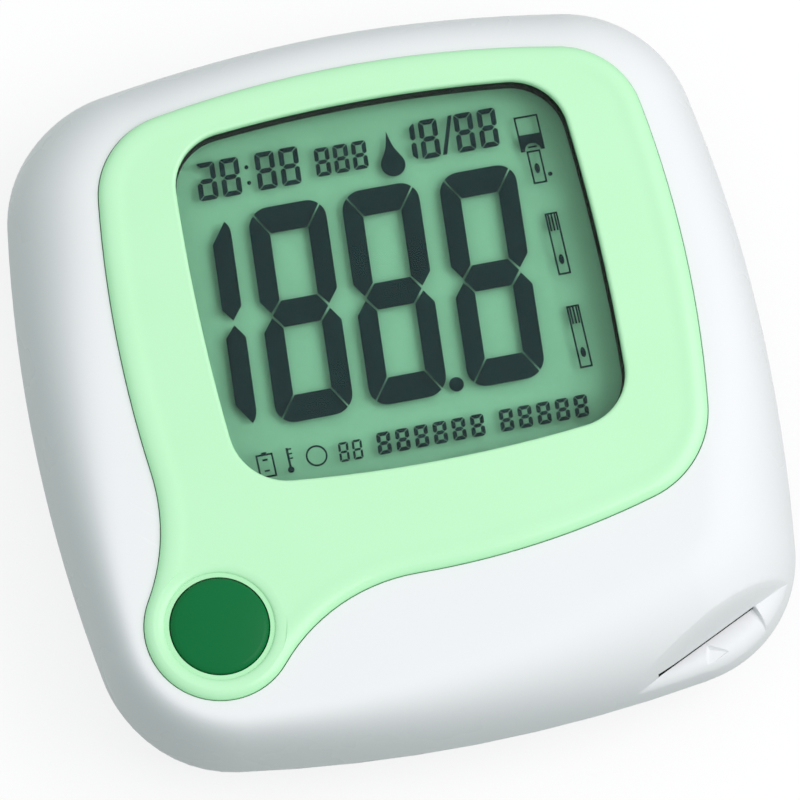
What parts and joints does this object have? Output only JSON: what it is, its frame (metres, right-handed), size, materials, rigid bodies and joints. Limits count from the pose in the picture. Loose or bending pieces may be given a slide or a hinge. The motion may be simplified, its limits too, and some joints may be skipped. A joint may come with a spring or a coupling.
{
  "type": "blood glucose meter",
  "caption": "Pillow-shaped handheld blood glucose meter with a large display, a round button, a strip slot and a battery door.",
  "frame": {"origin": "middle of the foot plane, under the middle of the body", "axes": "+X to the right of the face, +Y up the face, +Z out of the face"},
  "size_m": [0.086, 0.086, 0.0246],
  "materials": {
    "shell_abs": "gloss",
    "fascia_abs": "gloss",
    "lens_acrylic": "clear",
    "polarizer_film": "clear",
    "display_glass": "clear",
    "segment_ink": "matte",
    "seal_epoxy": "matte",
    "reflector_film": "satin",
    "tray_plastic": "satin",
    "zebra_rubber": "matte",
    "board_laminate": "satin",
    "chip_resin": "matte",
    "bright_steel": "satin",
    "ceramic": "matte",
    "plunger_plastic": "satin",
    "button_abs": "gloss",
    "set_button_plastic": "satin",
    "connector_plastic": "satin",
    "gold_contact": "gloss",
    "cell_can": "satin",
    "foot_rubber": "matte"
  },
  "bodies": {
    "meter": {"front_housing": "shell_abs", "rear_housing": "shell_abs", "fascia": "fascia_abs", "display_lens": "lens_acrylic", "front_polarizer": "polarizer_film", "lcd_front_glass": "display_glass", "lcd_segments": "segment_ink", "lcd_seal": "seal_epoxy", "lcd_rear_glass": "display_glass", "lcd_reflector": "reflector_film", "lcd_frame": "tray_plastic", "zebra_connector": "zebra_rubber", "main_board": "board_laminate", "microcontroller": "chip_resin", "analog_chip": "chip_resin", "memory_chip": "chip_resin", "clock_crystal": "bright_steel", "board_capacitors": "ceramic", "temperature_sensor": "chip_resin", "buzzer": "chip_resin", "main_switch_body": "chip_resin", "set_switch_body": "chip_resin", "strip_connector": "connector_plastic", "strip_contacts": "gold_contact", "battery_cell_1": "cell_can", "battery_cell_2": "cell_can", "battery_springs": "bright_steel", "terminal_plates": "bright_steel", "bridge_plate": "bright_steel", "housing_screws": "bright_steel", "board_screws": "bright_steel", "rubber_feet": "foot_rubber"},
    "main_button": {"main_button": "button_abs"},
    "main_plunger": {"main_switch_plunger": "plunger_plastic"},
    "set_button": {"set_button": "set_button_plastic"},
    "set_plunger": {"set_switch_plunger": "plunger_plastic"},
    "battery_door": {"battery_door": "shell_abs"}
  },
  "joints": [
    {"name": "main_button_press", "type": "slide", "parent": "meter", "child": "main_button", "axis": [0, 0, -1], "range_m": [0, 0.0006], "stiffness_N_per_m": 300, "springref_m": -0.001},
    {"name": "main_plunger_press", "type": "slide", "parent": "meter", "child": "main_plunger", "axis": [0, 0, -1], "range_m": [0, 0.0006]},
    {"name": "set_button_press", "type": "slide", "parent": "meter", "child": "set_button", "axis": [0, 0, 1], "range_m": [0, 0.0005], "stiffness_N_per_m": 300, "springref_m": -0.001},
    {"name": "set_plunger_press", "type": "slide", "parent": "meter", "child": "set_plunger", "axis": [0, 0, 1], "range_m": [0, 0.0005]},
    {"name": "battery_door_hinge", "type": "hinge", "parent": "meter", "child": "battery_door", "pos_m": [0, 0.0194, 0.0008], "axis": [1, 0, 0], "range_deg": [0, 75]}
  ],
  "couplings": [
    {"joint": "main_plunger_press", "follows": "main_button_press", "ratio": 1},
    {"joint": "set_plunger_press", "follows": "set_button_press", "ratio": 1}
  ]
}
